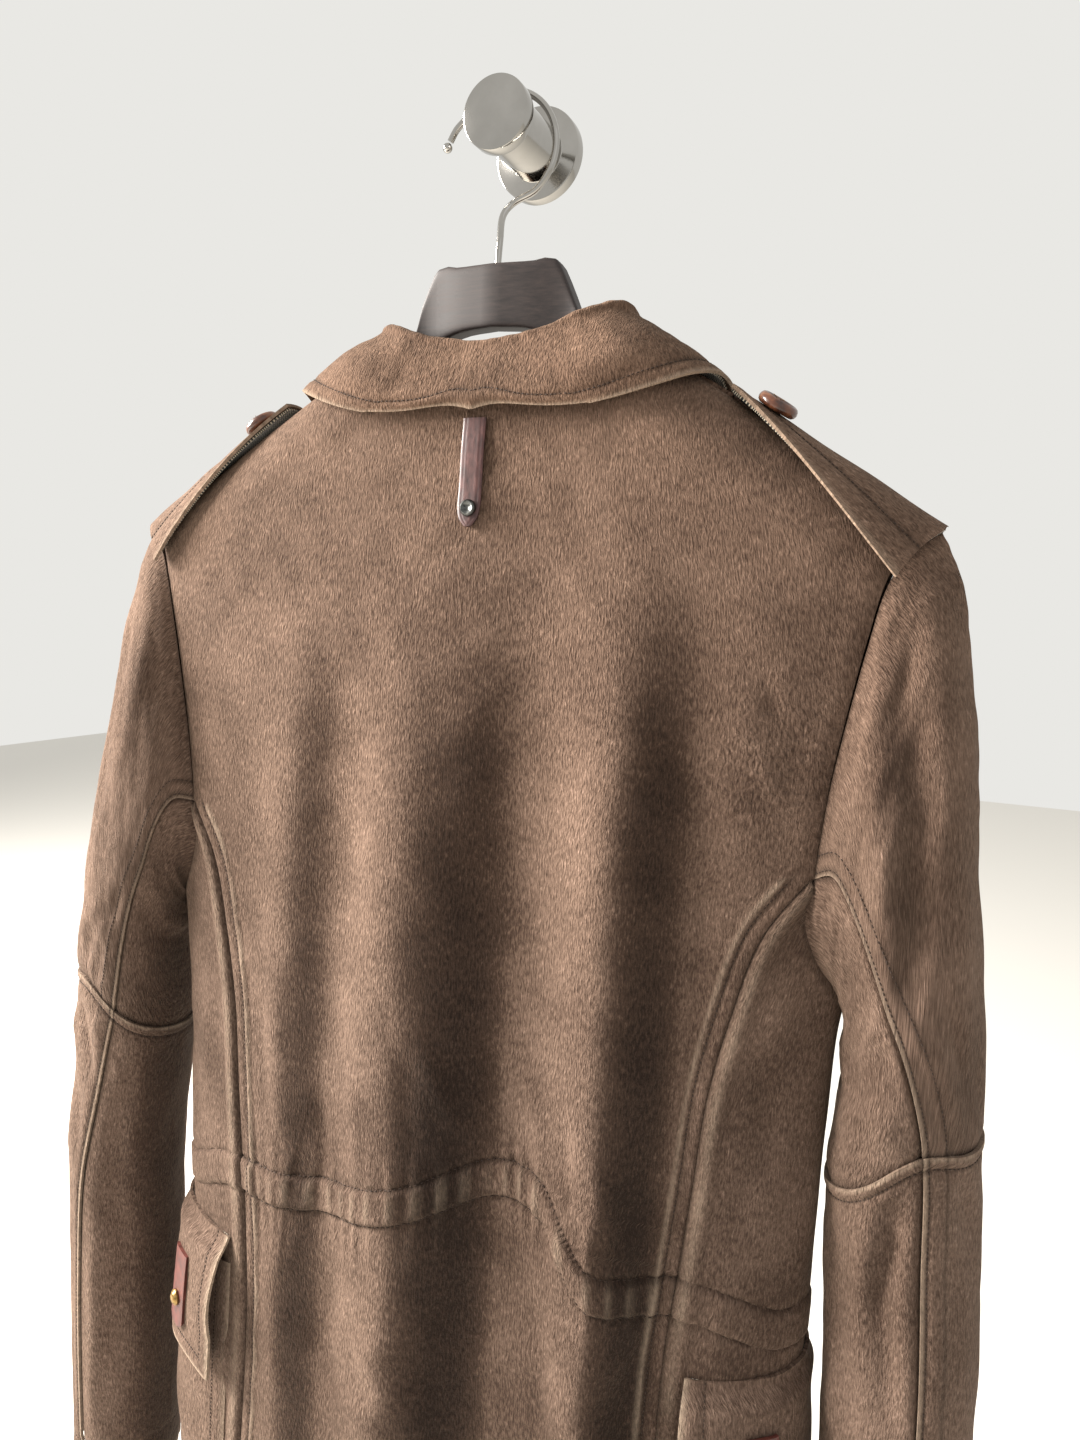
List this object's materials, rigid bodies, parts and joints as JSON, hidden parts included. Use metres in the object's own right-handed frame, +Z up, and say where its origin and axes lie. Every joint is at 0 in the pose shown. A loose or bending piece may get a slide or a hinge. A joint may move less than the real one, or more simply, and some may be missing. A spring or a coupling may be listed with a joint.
{
  "type": "suede jacket on a hanger and wall peg",
  "caption": "Hip-length suede jacket with epaulettes, patch pockets and a turn-down collar, hung by a wooden hanger from a round wall peg, its back to the viewer.",
  "frame": {"origin": "centre of the wall peg's back face, on the wall", "axes": "+Y into the wall, +Z up, +X to the viewer's right; the back of the jacket faces -Y"},
  "size_m": [0.5628, 0.1199, 0.8775],
  "materials": {
    "suede": "matte brown suede with a short worn nap",
    "wool": "black and white herringbone wool",
    "loop_leather": "smooth dark brown leather",
    "tab_leather": "smooth reddish brown leather",
    "button": "brown marbled, softly polished",
    "snap_metal": "aged brass",
    "rivet_metal": "dark, worn",
    "hanger_wood": "dark stained, satin lacquer",
    "chrome": "polished"
  },
  "bodies": {
    "root": {"back_panel": "suede", "side_panel_left": "suede", "side_panel_right": "suede", "front_left": "suede", "front_right": "suede", "front_placket": "suede", "front_button_1": "button", "front_button_2": "button", "front_button_3": "button", "front_button_4": "button", "front_button_5": "button", "sleeve_upper_outer_left": "suede", "sleeve_upper_under_left": "suede", "sleeve_lower_outer_left": "suede", "sleeve_lower_under_left": "suede", "sleeve_upper_outer_right": "suede", "sleeve_upper_under_right": "suede", "sleeve_lower_outer_right": "suede", "sleeve_lower_under_right": "suede", "collar": "suede", "under_collar": "wool", "epaulette_left": "suede", "epaulette_under_left": "wool", "epaulette_button_left": "button", "epaulette_right": "suede", "epaulette_under_right": "wool", "epaulette_button_right": "button", "hang_loop": "loop_leather", "hang_loop_rivet": "rivet_metal", "pocket_left": "suede", "pocket_flap_left": "suede", "pocket_flap_under_left": "wool", "pocket_tab_left": "tab_leather", "pocket_snap_left": "snap_metal", "pocket_right": "suede", "pocket_flap_right": "suede", "pocket_flap_under_right": "wool", "pocket_tab_right": "tab_leather", "pocket_snap_right": "snap_metal", "hanger": "hanger_wood", "hanger_hook": "chrome", "hook_ball": "chrome", "wall_peg": "chrome"}
  },
  "joints": []
}
